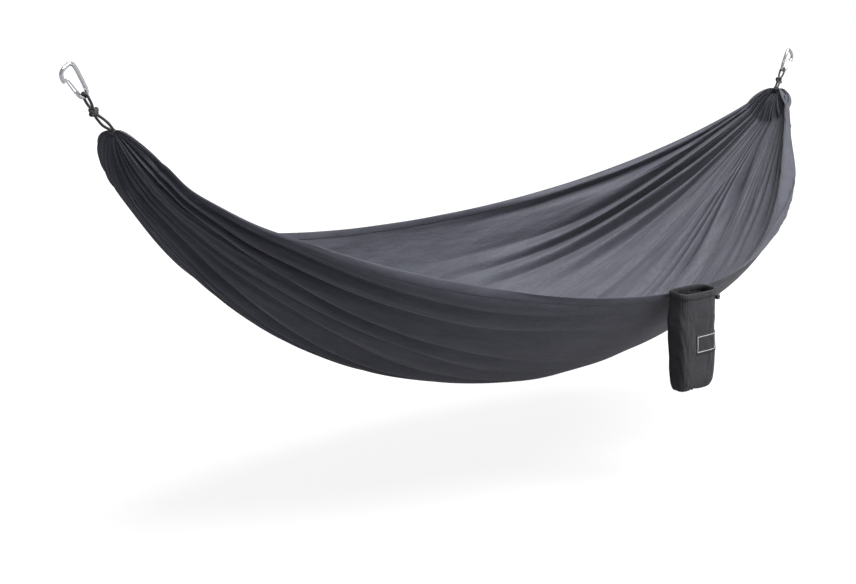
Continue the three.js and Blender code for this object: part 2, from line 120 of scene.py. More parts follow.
def bed_surface(t, v):
    """The bed without its folds. t runs from -1 to 1 along it, and v from -1 at the near edge to 1."""
    edge = v * v
    sag = MIDDLE[0] + (np.where(v < 0, NEAR[0], FAR[0]) - MIDDLE[0]) * edge
    steep = MIDDLE[1] + (np.where(v < 0, NEAR[1], FAR[1]) - MIDDLE[1]) * edge
    drop = sag * (np.cosh(steep) - np.cosh(steep * t)) / (np.cosh(steep) - 1)
    angle = BED_TILT + v * np.where(v < 0, NEAR_SPREAD, FAR_SPREAD)
    bunch = GATHER_R * np.abs(t) ** GATHER_POWER
    line = GATHER["left"] + (GATHER["right"] - GATHER["left"]) * ((t + 1) / 2)[..., None]
    u = np.clip((np.abs(t) - CLOSING_FROM) / (1 - CLOSING_FROM), 0, 1)[..., None]
    shrink = SHRINK * (1 - np.sqrt(1 - 0.999 * u ** 2.4))       # 0.999 keeps the slope finite
    lift = LIFT * u ** 1.25
    rise = np.where(t[..., None] < 0, WHIP["left"] - GATHER["left"], WHIP["right"] - GATHER["right"])
    lobe = EDGE_LOBE * np.exp(-((t - LOBE_AT) / LOBE_LENGTH) ** 2)
    dip = EDGE_DIP * np.exp(-((t - DIP_AT) / DIP_LENGTH) ** 2)
    raised = (lobe - dip) * np.clip(-v, 0, 1) ** 2
    offset = np.stack([
        0 * drop,
        drop * np.sin(angle) + bunch * np.sin(GATHER_SPREAD * v),
        -drop * np.cos(angle) - bunch * np.cos(GATHER_SPREAD * v) + raised,
    ], -1)
    return line + offset * (1 - shrink) + lift * rise


def bed_frame(t, v):
    """The bed's point, outward normal and width per unit of v."""
    step = 1e-4
    across = (bed_surface(t, v + step) - bed_surface(t, v - step)) / (2 * step)
    inner = np.clip(t, -1 + step, 1 - step)
    along = bed_surface(inner + step, v) - bed_surface(inner - step, v)
    normal = np.cross(across, along)
    normal /= np.linalg.norm(normal, axis=-1, keepdims=True)
    return bed_surface(t, v), normal, np.linalg.norm(across, axis=-1)


def field(u, w, seed):
    """Smooth noise over two arrays, which callers scale by how fast it should change."""
    flat = [noise.noise(Vector((a, b, seed))) for a, b in zip(u.ravel(), w.ravel())]
    return np.array(flat).reshape(u.shape)


def ridges(phase):
    """Broad round ridges with narrow creases between them, from -1 to 1."""
    return 2 * ((1 + np.cos(phase)) / 2) ** 0.62 - 1


def fold_height(t, v, width):
    """How far the folds stand out of the bed's smooth surface, calm in the middle and deep at the ends."""
    spare = np.clip(CLOTH_WIDTH / 2 / width - 1, 0.02, 1.5)
    wander = 1.1 * field(v * 2.3, t * 1.1, 3.1) + 0.5 * field(v * 5.0, t * 2.0, 8.7)
    pitch = 2 / FOLDS
    phase = 2 * math.pi * (v / pitch + 1.35 * wander)
    depth = width * pitch / math.pi * np.sqrt(spare)
    strength = 1.0 + 1.0 * field(v * 4.1, t * 0.9, 5.5)
    calm = 0.14 + 0.86 * smooth(0.1, 0.72, np.abs(t))
    facing = -np.tanh(t / 0.12)
    coarse = depth * strength * calm * (facing * ridges(phase) - FOLD_BIAS)
    near_gather = smooth(0.6, 0.93, np.abs(t))
    fine_phase = 2 * math.pi * (v * FINE_FOLDS / 2 + 1.1 * field(v * 7.0, t * 3.0, 1.9))
    fine = 0.17 * depth * near_gather * np.sin(fine_phase)
    crumple = 0.0020 * field(v * 9.0, t * 7.0, 4.4) + 0.006 * field(v * 2.0, t * 2.6, 9.3)
    return coarse + fine + crumple * (1 - np.abs(t) ** 12)


def bed_point(t, v, lift=0.0):
    """A point on the folded bed, lifted off its outer face."""
    point, normal, width = bed_frame(t, v)
    return point + normal * (fold_height(t, v, width) + lift)[..., None]


# --- making meshes ---
def run_along(line):
    """The distance along a line of points to each of them."""
    return np.concatenate([[0], np.cumsum(np.linalg.norm(np.diff(line, axis=0), axis=1))])


def pick(line, run, wanted):
    """The points or directions of a line at the wanted distances along it."""
    return np.stack([np.interp(wanted, run, line[:, k]) for k in range(3)], -1)


def cap_faces(rows, columns):
    """The two end faces of a closed tube of rows by columns of points."""
    return [tuple(range(columns))[::-1], tuple((rows - 1) * columns + k for k in range(columns))]


def new_object(name, points, faces, uvs=None, smooth_shade=True):
    data = bpy.data.meshes.new(name)
    data.from_pydata([tuple(map(float, p)) for p in points], [], faces)
    if uvs is not None:
        layer = data.uv_layers.new(name="UVMap")
        layer.data.foreach_set("uv", [x for loop in data.loops for x in uvs[loop.vertex_index]])
    data.polygons.foreach_set("use_smooth", [smooth_shade] * len(data.polygons))
    data.update()
    made = bpy.data.objects.new(name, data)
    bpy.context.scene.collection.objects.link(made)
    return made


def grid_faces(rows, columns, wrap=False):
    """Quads over rows by columns of points; wrap joins the last column to the first."""
    width = columns if wrap else columns - 1
    return [
        (r * columns + c, r * columns + (c + 1) % columns,
         (r + 1) * columns + (c + 1) % columns, (r + 1) * columns + c)
        for r in range(rows - 1) for c in range(width)
    ]


def grid_object(name, points, uvs, wrap=False):
    """An open sheet from an array of rows by columns of points."""
    rows, columns = points.shape[:2]
    return new_object(name, points.reshape(-1, 3), grid_faces(rows, columns, wrap), uvs.reshape(-1, 2))


def thicken(piece, thickness):
    solid = piece.modifiers.new("thickness", "SOLIDIFY")
    solid.thickness = thickness
    solid.offset = 0
    return piece


def finish_piece(piece, material, body, slot, *nodes):
    piece.data.materials.append(material)
    if nodes:
        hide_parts(*nodes)
    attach(piece, body)
    return piece


def spline(points, count, closed=False):
    """A smooth curve through the points, as count points evenly spaced along it, and its length."""
    given = [Vector(p) for p in points]
    n = len(given)
    fine = []
    for i in range(n if closed else n - 1):
        if closed:
            a, b, c, d = (given[(i + k) % n] for k in (-1, 0, 1, 2))
        else:
            b, c = given[i], given[i + 1]
            a = given[i - 1] if i else b * 2 - c
            d = given[i + 2] if i + 2 < n else c * 2 - b
        for k in range(12):
            s = k / 12
            fine.append(0.5 * (2 * b + (c - a) * s + (2 * a - 5 * b + 4 * c - d) * s ** 2
                               + (3 * b - a - 3 * c + d) * s ** 3))
    fine.append(given[0] if closed else given[-1])
    fine = np.array(fine)
    run = run_along(fine)
    return pick(fine, run, np.linspace(0, run[-1], count)), run[-1]


def sweep(name, points, count, radius, sides, closed=False, section=None):
    """A tube along the points. radius is a number or a function of the share of the way along."""
    path, length = spline(points, count, closed)
    tangent = np.gradient(path, axis=0)
    tangent /= np.linalg.norm(tangent, axis=1, keepdims=True)
    normal = Vector((0, 1, 0)) if abs(tangent[0][1]) < 0.9 else Vector((1, 0, 0))
    rings, uvs = [], []
    for i, (p, d) in enumerate(zip(path, tangent)):
        d = Vector(d)
        normal = (normal - d * normal.dot(d)).normalized()
        second = d.cross(normal)
        share = i / (count - 1)
        r = radius(share) if callable(radius) else radius
        for k in range(sides):
            a = 2 * math.pi * k / sides
            x, y = section(a) if section else (math.cos(a), math.sin(a))
            rings.append(Vector(p) + normal * (r * x) + second * (r * y))
            uvs.append((share * length, k / sides))
    faces = grid_faces(count, sides, wrap=True)
    if not closed:
        faces += cap_faces(count, sides)
    return new_object(name, rings, faces, np.array(uvs))


# --- materials ---
def new_material(name, colour, roughness, **values):
    material = bpy.data.materials.new(name)
    material.use_nodes = True
    shader = material.node_tree.nodes["Principled BSDF"]
    shader.inputs["Base Color"].default_value = (*colour, 1)
    shader.inputs["Roughness"].default_value = roughness
    for key, value in values.items():
        shader.inputs[key.replace("_", " ")].default_value = value
    return material, material.node_tree, shader


def add(tree, kind, **values):
    node = tree.nodes.new(kind)
    for key, value in values.items():
        if key in node.inputs:
            node.inputs[key].default_value = value
        else:
            setattr(node, key, value)
    return node


def scaled(tree, source, factors):
    mapping = add(tree, "ShaderNodeMapping")
    mapping.inputs["Scale"].default_value = factors
    tree.links.new(source, mapping.inputs["Vector"])
    return mapping.outputs["Vector"]


def noise_on(tree, vector, scale, detail):
    made = add(tree, "ShaderNodeTexNoise", Scale=scale, Detail=detail)
    tree.links.new(vector, made.inputs["Vector"])
    return made.outputs["Fac"]


def calculate(tree, operation, first, second=0.0):
    """The result of a Math node, from sockets or plain numbers."""
    node = add(tree, "ShaderNodeMath", operation=operation)
    for socket, value in zip(node.inputs, (first, second)):
        if isinstance(value, bpy.types.NodeSocket):
            tree.links.new(value, socket)
        else:
            socket.default_value = value
    return node.outputs[0]


def remap(tree, value, from_range, to_range):
    made = add(tree, "ShaderNodeMapRange")
    tree.links.new(value, made.inputs["Value"])
    for key, (low, high) in (("From", from_range), ("To", to_range)):
        made.inputs[key + " Min"].default_value = low
        made.inputs[key + " Max"].default_value = high
    return made.outputs["Result"]


def sum_of(tree, *parts):
    """The sum of height sources, each with its own weight."""
    weighed = [calculate(tree, "MULTIPLY", source, weight) for source, weight in parts]
    total = weighed[0]
    for part in weighed[1:]:
        total = calculate(tree, "ADD", total, part)
    return total


def bump(tree, shader, height, distance, strength):
    made = add(tree, "ShaderNodeBump", Distance=distance, Strength=strength)
    tree.links.new(height, made.inputs["Height"])
    tree.links.new(made.outputs["Normal"], shader.inputs["Normal"])


def vary(tree, shader, factor, dark, light, low=0.3, high=0.7):
    """Colour between dark and light as factor goes from low to high."""
    ramp = add(tree, "ShaderNodeValToRGB")
    for element, place, colour in zip(ramp.color_ramp.elements, (low, high), (dark, light)):
        element.position = place
        element.color = (*colour, 1)
    tree.links.new(factor, ramp.inputs["Fac"])
    tree.links.new(ramp.outputs["Color"], shader.inputs["Base Color"])


def weave(tree, vector, pitch):
    """Over-and-under threads along both axes of the cloth's own coordinates, in metres."""
    waves, scale = [], 1 / pitch / 3.2
    for axis in ("X", "Y"):
        made = add(tree, "ShaderNodeTexWave", Scale=scale, bands_direction=axis, wave_profile="SIN")
        tree.links.new(vector, made.inputs["Vector"])
        waves.append(made.outputs["Fac"])
    return calculate(tree, "MULTIPLY", *waves)


def taffeta(name, dark, light, sheen):
    """Nylon taffeta: fine weave, small crinkles along the cloth, and a slight silky sheen."""
    material, tree, shader = new_material(
        name, light, 0.52, Sheen_Weight=sheen, Sheen_Roughness=0.4, Specular_IOR_Level=0.28)
    cloth = add(tree, "ShaderNodeUVMap").outputs["UV"]
    streaks = noise_on(tree, scaled(tree, cloth, (9, 42, 1)), 1.0, 4.0)
    crinkle = noise_on(tree, scaled(tree, cloth, (60, 150, 1)), 1.0, 3.0)
    threads = weave(tree, cloth, 0.0009)
    vary(tree, shader, streaks, dark, light)
    bump(tree, shader, sum_of(tree, (streaks, 0.9), (crinkle, 0.35), (threads, 0.04)), 0.004, 0.55)
    tree.links.new(remap(tree, crinkle, (0.3, 0.7), (0.58, 0.74)), shader.inputs["Roughness"])
    return material


def braided(name, colour, plait):
    """Braided cord: diamonds from two crossed helices over the cord's own coordinates, with painted shade
    in their hollows and a painted highlight on their crowns.
    """
    material, tree, shader = new_material(name, colour, 0.7, Sheen_Weight=0.25, Sheen_Roughness=0.5)
    cord = add(tree, "ShaderNodeUVMap").outputs["UV"]
    crossed = []
    for turn in (1, -1):
        made = add(tree, "ShaderNodeTexWave", Scale=0.3142, bands_direction="DIAGONAL")
        tree.links.new(scaled(tree, cord, (1 / plait, 6 * turn, 1)), made.inputs["Vector"])
        crossed.append((made.outputs["Fac"], 0.5))
    height = sum_of(tree, *crossed)
    # Painted shade and highlight: the colour is darker where the braid's height is low and lighter where it
    # is high.
    vary(tree, shader, height, tuple(0.4 * c for c in colour), tuple(1.9 * c for c in colour))
    bump(tree, shader, height, 0.0006, 0.8)
    return material


def metal(name, colour, roughness):
    """Bright metal with faint drawing lines and handling marks."""
    material, tree, shader = new_material(name, colour, roughness, Metallic=1.0)
    place = add(tree, "ShaderNodeTexCoord").outputs["Object"]
    lines = noise_on(tree, scaled(tree, place, (900, 2600, 900)), 1.0, 2.0)
    marks = noise_on(tree, place, 160.0, 5.0)
    vary(tree, shader, marks, tuple(0.86 * c for c in colour), colour)
    rough = remap(tree, marks, (0.3, 0.75), (roughness * 0.7, roughness * 1.7))
    tree.links.new(rough, shader.inputs["Roughness"])
    bump(tree, shader, lines, 0.00004, 0.4)
    return material


def moulded(name, colour):
    """Moulded plastic with a fine spark-eroded grain."""
    material, tree, shader = new_material(name, colour, 0.45)
    place = add(tree, "ShaderNodeTexCoord").outputs["Object"]
    grain = noise_on(tree, place, 1800.0, 2.0)
    vary(tree, shader, grain, tuple(0.8 * c for c in colour), tuple(1.2 * c for c in colour))
    bump(tree, shader, grain, 0.0001, 0.5)
    return material


CHARCOAL = taffeta("bed_taffeta", (0.035, 0.0365, 0.048), (0.051, 0.053, 0.069), 0.14)
SACK_CLOTH = taffeta("sack_taffeta", (0.015, 0.015, 0.018), (0.021, 0.0212, 0.025), 0.05)
CORD = braided("black_cord", (0.012, 0.012, 0.014), 0.004)
THIN_CORD = braided("black_drawcord", (0.012, 0.012, 0.014), 0.002)
ALLOY = metal("polished_alloy", (0.56, 0.57, 0.59), 0.16)
STEEL = metal("gate_steel", (0.5, 0.51, 0.53), 0.22)
PLASTIC = moulded("lock_plastic", (0.016, 0.016, 0.018))


# --- the bed ---
def along_bed(limit):
    """Values of t from -limit to limit, closer together near the gathers."""
    bend = 0.47 * math.pi
    return limit * np.sin(np.linspace(-bend, bend, SHEET_STEPS + 1)) / math.sin(bend)


def make_panel(name, low, high, node):
    """One of the three cloth panels, from low to high on v."""
    t = along_bed(PANEL_END)
    v = np.linspace(low, high, int((high - low) * SAMPLES_PER_UNIT) + 1)
    tt, vv = np.meshgrid(t, v, indexing="ij")
    cut = np.stack([tt * CLOTH_LENGTH / 2, vv * CLOTH_WIDTH / 2], -1)
    made = thicken(grid_object(name, bed_point(tt, vv), cut), CLOTH_THICK)
    finish_piece(made, CHARCOAL, "bed", "taffeta", node)
    return made


def make_strip(name, t, v, half_width, half_thick, *nodes):
    """A flattened tube along the line (t, v) on the bed: a hem or a felled seam."""
    turn = np.linspace(0, 2 * math.pi, 14, endpoint=False)
    width = bed_frame(t, v)[2]
    tt = np.repeat(t[:, None], len(turn), 1)
    vv = v[:, None] + half_width / width[:, None] * np.cos(turn)
    swell = 1 + 0.35 * field(tt * 60, 0 * tt, 2.2)
    points = bed_point(tt, vv, half_thick * np.sin(turn) * swell)
    cut = np.stack([tt * CLOTH_LENGTH / 2, 0 * tt + half_width * 2 * turn / math.pi], -1)
    made = grid_object(name, points, cut, wrap=True)
    return finish_piece(made, CHARCOAL, "bed", "taffeta", *nodes)


def make_stitches(name, t, v, lift):
    """A row of small raised stitches along the line (t, v) on the bed."""
    return stitch_row(name, bed_point(t, v, lift), bed_frame(t, v)[1], STITCH_LENGTH, "bed")


def stitch_row(name, line, normal, length, body):
    """Stitches along any line, each a small eight-faced spindle that stands up along normal."""
    half_wide, half_high = 0.0004, 0.0005
    sides = (0, 4, 2), (4, 1, 2), (0, 3, 4), (4, 3, 1), (0, 2, 5), (5, 2, 1), (0, 5, 3), (5, 1, 3)
    run = run_along(line)
    places = np.arange(length, run[-1] - length, length * 1.45)
    centre = pick(line, run, places)
    ahead = pick(line, run, places + length / 2)
    up = pick(normal, run, places)
    points, faces = [], []
    for c, a, n in zip(centre, ahead, up):
        d = a - c
        across = np.cross(d, n)
        across *= half_wide / max(np.linalg.norm(across), 1e-9)
        n = n * half_high / max(np.linalg.norm(n), 1e-9)
        base = len(points)
        points += [c - d, c + d, c + across, c - across, c + n, c - n]
        faces += [(base + i, base + j, base + k) for i, j, k in sides]
    made = new_object(name, points, faces, np.zeros((len(points), 2)))
    return finish_piece(made, STITCH, body, "taffeta")


def make_casing(end):
    """The puffy folded channel at one end of the cloth, gathered on its cord."""
    turn = np.linspace(0, 2 * math.pi, 36, endpoint=False)
    v = np.linspace(-1, 1, 301)
    vv = np.repeat(v[:, None], len(turn), 1)
    share = (1 - np.cos(turn)) / 2
    tt = SIDE[end] * (CASING_FROM + (1 - CASING_FROM) * share) + 0 * vv
    swell = 1 + 0.5 * field(vv * 5, tt * 0, 6.6 + SIDE[end])
    lobes = 0.007 * field(vv * 6.5, share + 0 * vv, 3.3 + SIDE[end])
    lobes = lobes + 0.002 * np.sin(vv * 58 + 2 * np.sin(vv * 9))
    lift = CASING_PUFF * np.sin(turn) * share ** 0.6 * swell + lobes * 4 * share * (1 - share)
    points = bed_point(tt, vv, lift)
    cut = np.stack([tt * CLOTH_LENGTH / 2 + 0.03 * np.sin(turn), vv * CLOTH_WIDTH / 2], -1)
    faces = grid_faces(len(v), len(turn), wrap=True) + cap_faces(len(v), len(turn))
    made = new_object(end + "_casing", points.reshape(-1, 3), faces, cut.reshape(-1, 2))
    finish_piece(made, CHARCOAL, "bed", "taffeta", end + "_end_casing")
    row = np.linspace(-0.98, 0.98, 900)
    edge = 0 * row + SIDE[end] * (CASING_FROM - 0.0015)
    for lift, which in ((2 * CLOTH_THICK, ""), (-2 * CLOTH_THICK, "inner_")):
        make_stitches(f"{end}_casing_{which}stitching", edge, row, lift)


def make_bed():
    make_panel("middle_cloth", -SEAM_AT, SEAM_AT, "bed_middle_panel")
    make_panel("near_cloth", -1, -SEAM_AT, "bed_near_panel")
    make_panel("far_cloth", SEAM_AT, 1, "bed_far_panel")
    t = along_bed(SEAM_END)
    dense = np.linspace(-STITCH_END, STITCH_END, 2400)
    width = {v: bed_frame(dense, 0 * dense + v)[2] for v in (-1, -SEAM_AT, SEAM_AT, 1)}
    for v, side in ((-SEAM_AT, "near"), (SEAM_AT, "far")):
        make_strip(side + "_seam", t, 0 * t + v, SEAM_HALF_W, SEAM_HALF_H)
        for off, row in ((-SEAM_ROW, "outer"), (SEAM_ROW, "inner")):
            line = v + off / width[v]
            for lift, face in ((STITCH_LIFT, "below"), (-STITCH_LIFT, "above")):
                make_stitches(f"{side}_seam_{row}_stitching_{face}", dense, line, lift)
    for v, side in ((-1, "near"), (1, "far")):
        half = HEM_W / 2
        middle = v * (1 - half / bed_frame(t, 0 * t + v)[2])
        make_strip(side + "_hem", t, middle, half, HEM_HALF_H, side + "_edge_hem")
        line = v * (1 - HEM_ROW / width[v])
        for lift, which in ((STITCH_LIFT, ""), (-STITCH_LIFT, "inner_")):
            make_stitches(f"{side}_hem_{which}stitching", dense, line, lift)


# --- cords and metal ---
def make_strands(end):
    """The two strands of a sling, from its knot on into the casing, and the whipping round them."""
    knot = Vector(sling_point(end, KNOT_AT + 0.004))
    whip = Vector(WHIP[end])
    into = Vector(GATHER[end])
    bow = Vector(sling_point(end, 0, 0, 0.004)) - Vector(sling_point(end, 0))
    for sign, which in ((1, "first"), (-1, "second")):
        wide = Vector((0, 1, 0)) * sign
        path = [
            knot + wide * STRAND_OFF,
            knot.lerp(whip, 0.3) + wide * 0.0052 - bow * 0.5 * sign,
            knot.lerp(whip, 0.62) + wide * 0.0056 - bow * 0.7 * sign,
            whip + wide * 0.0029,
            whip.lerp(into, 0.35) + wide * 0.004,
        ]
        made = sweep(f"{end}_{which}_strand", path, 70, CORD_R, 16)
        nodes = [end + "_cord_loop"] if sign > 0 else []
        finish_piece(made, CORD, "bed", "cord", *nodes)
    make_whipping(end, whip, (whip - knot).normalized())


def make_whipping(end, middle, along):
    """Six turns of thin cord round both strands."""
    length, turns, per_turn = 0.0095, 6, 12
    flat = along.cross(Vector((0, 1, 0))).normalized() * 0.0048
    wide = Vector((0, 0.0068, 0))
    path = []
    for k in range(turns * per_turn + 1):
        a = 2 * math.pi * k / per_turn
        shift = length * (k / (turns * per_turn) - 0.5)
        path.append(middle + along * shift + flat * math.cos(a) + wide * math.sin(a))
    made = sweep(end + "_whipping", path, 320, 0.0011, 8)
    finish_piece(made, THIN_CORD, "bed", "cord", end + "_cord_whipping")


def trefoil(a, size, depth):
    """A point at angle a round a trefoil knot, depth thick either way."""
    return (size * (math.sin(a) + 2 * math.sin(2 * a)),
            size * (math.cos(a) - 2 * math.cos(2 * a)),
            depth * math.sin(3 * a))


def make_knot(end):
    """A doubled overhand knot, as two cords lying side by side through a trefoil."""
    for row, which in enumerate(("first", "second")):
        path = []
        size = 0.00235 + 0.0003 * row
        for k in range(48):
            x, y, z = trefoil(2 * math.pi * k / 48 + 0.16 * row, size, 0.0043)
            path.append(sling_point(end, KNOT_AT + x * 1.08, y, z + 0.0034 * (row - 0.5)))
        made = sweep(f"{end}_{which}_knot_cord", path, 200, CORD_R, 14, closed=True)
        nodes = [end + "_stopper_knot"] if row == 0 else []
        finish_piece(made, CORD, "bed", "cord", *nodes)


BOW_AT = 0.06375                               # the carabiner's lower bow, down from the anchor point
BIGHT_R = BAR_R + CORD_R + 0.0001


def make_bight(end):
    """The bight round the carabiner's lower bow, down to the knot."""
    half = [(KNOT_AT - 0.002, 0.0030), (KNOT_AT - 0.009, 0.0032), (KNOT_AT - 0.0135, 0.0052),
            (KNOT_AT - 0.0225, BIGHT_R)]
    arc = [(BOW_AT - BIGHT_R * math.sin(a), BIGHT_R * math.cos(a)) for a in np.linspace(0, math.pi, 11)]
    line = half + arc + [(d, -y) for d, y in reversed(half)]
    made = sweep(end + "_bight", [sling_point(end, d, y) for d, y in line], 120, CORD_R, 16)
    made.data.materials.append(CORD)
    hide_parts(end + "_carabiner_bight")
    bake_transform(made)


# The carabiner's bar as (inward, up) and half of its wire gate as (inward, across, up), in millimetres
# from the anchor point.
BAR_LINE = [
    (-25, -17.5), (-26.2, -14), (-26.4, -8.5), (-23.5, -1), (-17, 3), (-8, 4.2), (0, 3.75), (6, 0.5),
    (9, -6), (9.8, -17), (9.6, -33), (9.2, -47), (8, -57), (4.5, -62.3), (-1, -63.9), (-6.5, -62),
    (-10.5, -57), (-12.1, -51), (-12.3, -45.5),
]
WIRE_LINE = [
    (-12.1, 1.2, -51), (-12.1, 3.4, -51), (-12.4, 5.05, -50.1), (-13.1, 5.45, -47.6), (-15, 4.9, -38),
    (-17.6, 4.3, -24), (-19.1, 3.6, -17.2), (-19.6, 1.9, -15),
]
WIRE_TIP = (-19.7, 0, -14.5)


def bar_radius(share):
    """The bar's radius: rounded at both tips, and stouter at the nose."""
    tip = min(share, 1 - share) / 0.017
    full = BAR_R * (1 + 0.16 * max(0, 1 - share / 0.06))
    return full * math.sqrt(max(1 - (1 - min(tip, 1)) ** 2, 0.02))


def forged_section(a):
    """A circle with slightly flattened sides."""
    return tuple(math.copysign(abs(c) ** 0.86, c) for c in (math.cos(a), math.sin(a)))


def make_carabiner(end):
    path = [sling_point(end, -z / 1000, 0, x / 1000) for x, z in BAR_LINE]
    made = sweep(end + "_carabiner", path, 260, bar_radius, 24, section=forged_section)
    finish_piece(made, ALLOY, "carabiners", "polished_alloy", end + "_carabiner_frame")
    whole = WIRE_LINE + [WIRE_TIP] + [(x, -y, z) for x, y, z in reversed(WIRE_LINE)]
    path = [sling_point(end, -z / 1000, y / 1000, x / 1000) for x, y, z in whole]
    made = sweep(end + "_gate", path, 160, WIRE_R, 14)
    finish_piece(made, STEEL, end + "_gate", "gate_wire", end + "_wire_gate")
    for sign, face in ((1, "front"), (-1, "back")):
        pin = [sling_point(end, 0.051, sign * y, -0.0121) for y in (0.0026, 0.0031, 0.0038, 0.0043)]
        made = sweep(f"{end}_gate_boss_{face}", pin, 8, 0.0021, 18)
        finish_piece(made, ALLOY, "carabiners", "polished_alloy")


# --- the stuff sack ---
MOUTH = Vector((0.009, -0.4835, -0.4973))
SACK_HALF_W, SACK_HALF_D, SACK_H = 0.070, 0.023, 0.220
SACK_CORNER = 0.46                             # smaller is squarer
SACK_STEPS = 300                               # round it
SACK_HEM_H = 0.0144


def sack_point(down, turn, out=0.0):
    """A point on the sack: down from its mouth, and round it from its +X end."""
    share = np.clip(down / SACK_H, 0, 1)
    belly = np.sin(math.pi * share)
    pinch = np.maximum(0, (share - 0.9) / 0.1) ** 2
    half_w = SACK_HALF_W + 0.002 * belly - 0.006 * pinch
    half_d = SACK_HALF_D + 0.004 * belly - 0.008 * pinch
    c, s = np.cos(turn), np.sin(turn)
    x = np.sign(c) * np.abs(c) ** SACK_CORNER
    y = np.sign(s) * np.abs(s) ** SACK_CORNER
    below = smooth(0.07, 0.3, share)
    tucks = np.sin(turn * 26 + 5 * np.sin(turn * 3)) * (0.5 + field(turn * 2.5, 0 * down, 5.2))
    pucker = 0.0008 * tucks * (1 - smooth(0.07, 0.24, share))
    bulge = 0.0042 * field(np.cos(turn) * 1.6 + 4, down * 13 + np.sin(turn) * 1.3, 7.7) * below
    crease = 0.0017 * field(np.cos(turn) * 5.1, down * 34 + 2.2 * np.sin(turn), 2.9) * below
    lift = out + pucker + bulge + crease
    sag = 0.003 * np.cos(turn * 2 + 0.6) * share ** 3 + 0.004 * (1 - y)
    return np.stack([
        MOUTH.x + x * (half_w + lift) + 0.003 * share ** 2,
        MOUTH.y + y * (half_d + lift),
        MOUTH.z - down - sag,
    ], -1)


def make_sack():
    """The shell, its bottom closing in on itself with small tucks, and the mouth's hem."""
    turn = np.linspace(0, 2 * math.pi, SACK_STEPS, endpoint=False)
    down = np.linspace(0.004, SACK_H - 0.004, 130)
    dd, aa = np.meshgrid(down, turn, indexing="ij")
    points = sack_point(dd, aa)
    last = points[-1]
    centre = last.mean(0)
    closing, rings = [], 14
    for k in range(1, rings + 1):
        s = k / rings
        tuck = 0.0016 * np.sin(turn * 23) * math.sin(math.pi * s)
        ring = centre + (last - centre) * (1 - s ** 1.5 * 0.985)
        ring[:, 2] = last[:, 2] * (1 - s) + centre[2] * s - 0.008 * math.sin(math.pi * s / 2) + tuck
        closing.append(ring)
    whole = np.concatenate([points, np.array(closing)])
    depth = np.concatenate([down, SACK_H + np.arange(1, rings + 1) * 0.0025])
    cut_r = 0.055
    cut = np.stack([np.repeat(turn[None] * cut_r, len(whole), 0),
                    np.repeat(depth[:, None], len(turn), 1)], -1)
    made = thicken(grid_object("sack_shell", whole, cut, wrap=True), 0.0005)
    finish_piece(made, SACK_CLOTH, "sack", "sack_cloth", "sack_side", "sack_bottom")
    ring = np.linspace(0, 2 * math.pi, 18, endpoint=False)
    aa, bb = np.meshgrid(turn, ring, indexing="ij")
    rim = sack_point(SACK_HEM_H / 2 * (1 - np.cos(bb)), aa, 0.0021 * np.sin(bb) + 0.0002)
    rim = np.concatenate([rim, rim[:1]])
    cut = np.stack([np.repeat(np.append(turn, 2 * math.pi)[:, None] * cut_r, len(ring), 1),
                    np.repeat(ring[None] * 0.005, len(rim), 0)], -1)
    made = grid_object("sack_hem", rim, cut, wrap=True)
    finish_piece(made, SACK_CLOTH, "sack", "sack_cloth", "sack_mouth_hem")
    line = sack_point(0 * turn + SACK_HEM_H + 0.0014, turn, 0.0006)
    out = line - np.array([MOUTH.x, MOUTH.y, 0])
    out[:, 2] = 0
    made = stitch_row("sack_hem_stitching", line, out, 0.0026, "sack")


def make_tab():
    """The short tape that sews the sack to the hammock's edge, from there over into the sack's back."""
    rows = 20
    line = spline([(0, -0.4475, -0.5140), (0, -0.4545, -0.5055), (0, -0.4590, -0.5035),
                   (0, -0.4601, -0.5080), (0, -0.4603, -0.5150)], rows)[0]
    x = np.linspace(-0.026, 0.034, 40)
    xx, row = np.meshgrid(x, np.arange(rows), indexing="ij")
    points = np.stack([xx, line[row, 1] + 0.0002 * np.sin(xx * 400), line[row, 2]], -1)
    cut = np.stack([xx, row * 0.0015], -1)
    made = thicken(grid_object("sack_tape", points, cut), 0.0012)
    finish_piece(made, SACK_CLOTH, "sack", "sack_cloth", "sack_tab")


def make_label():
    """A plain woven label with a thin pale border, and nothing written on it."""
    low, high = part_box("sack_label")
    low.x -= 0.006                             # a little wider than the design's, at its left
    x = np.linspace(low.x, high.x, 60)
    z = np.linspace(high.z, low.z, 34)
    xx, zz = np.meshgrid(x, z, indexing="ij")
    off = xx - MOUTH.x
    share = np.minimum(np.abs(off) / (SACK_HALF_W + 0.002), 0.985) ** (1 / SACK_CORNER)
    side = np.arccos(np.sign(off) * share)
    points = sack_point(MOUTH.z - zz, -side, 0.0009)
    cut = np.stack([(xx - low.x) / (high.x - low.x), (zz - low.z) / (high.z - low.z)], -1)
    made = thicken(grid_object("sack_woven_label", points, cut), 0.0007)
    finish_piece(made, LABEL, "sack", "label_weave", "sack_label")


def make_drawcord():
    """The drawcord's two tails and its end knot."""
    x, top = 0.082, MOUTH.z - 0.0075
    for sign, which in ((1, "first"), (-1, "second")):
        y = MOUTH.y + sign * 0.0018
        tail = [(x - 0.004, y, top), (x + 0.005, y, top - 0.001), (x + 0.0095, y, top - 0.007),
                (x + 0.010, y, top - 0.02), (x + 0.010, y, top - 0.0545)]
        made = sweep(f"{which}_drawcord_tail", tail, 80, THIN_CORD_R, 10)
        nodes = ["sack_drawcord"] if sign > 0 else []
        finish_piece(made, THIN_CORD, "sack", "thin_cord", *nodes)
    low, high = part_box("sack_drawcord_knot")
    path = []
    for k in range(36):
        x, z, y = trefoil(2 * math.pi * k / 36, 0.0011, 0.0018)
        path.append((low + high) / 2 + Vector((x, y, z)))
    made = sweep("drawcord_knot", path, 130, THIN_CORD_R, 10, closed=True)
    finish_piece(made, THIN_CORD, "sack", "thin_cord", "sack_drawcord_knot")


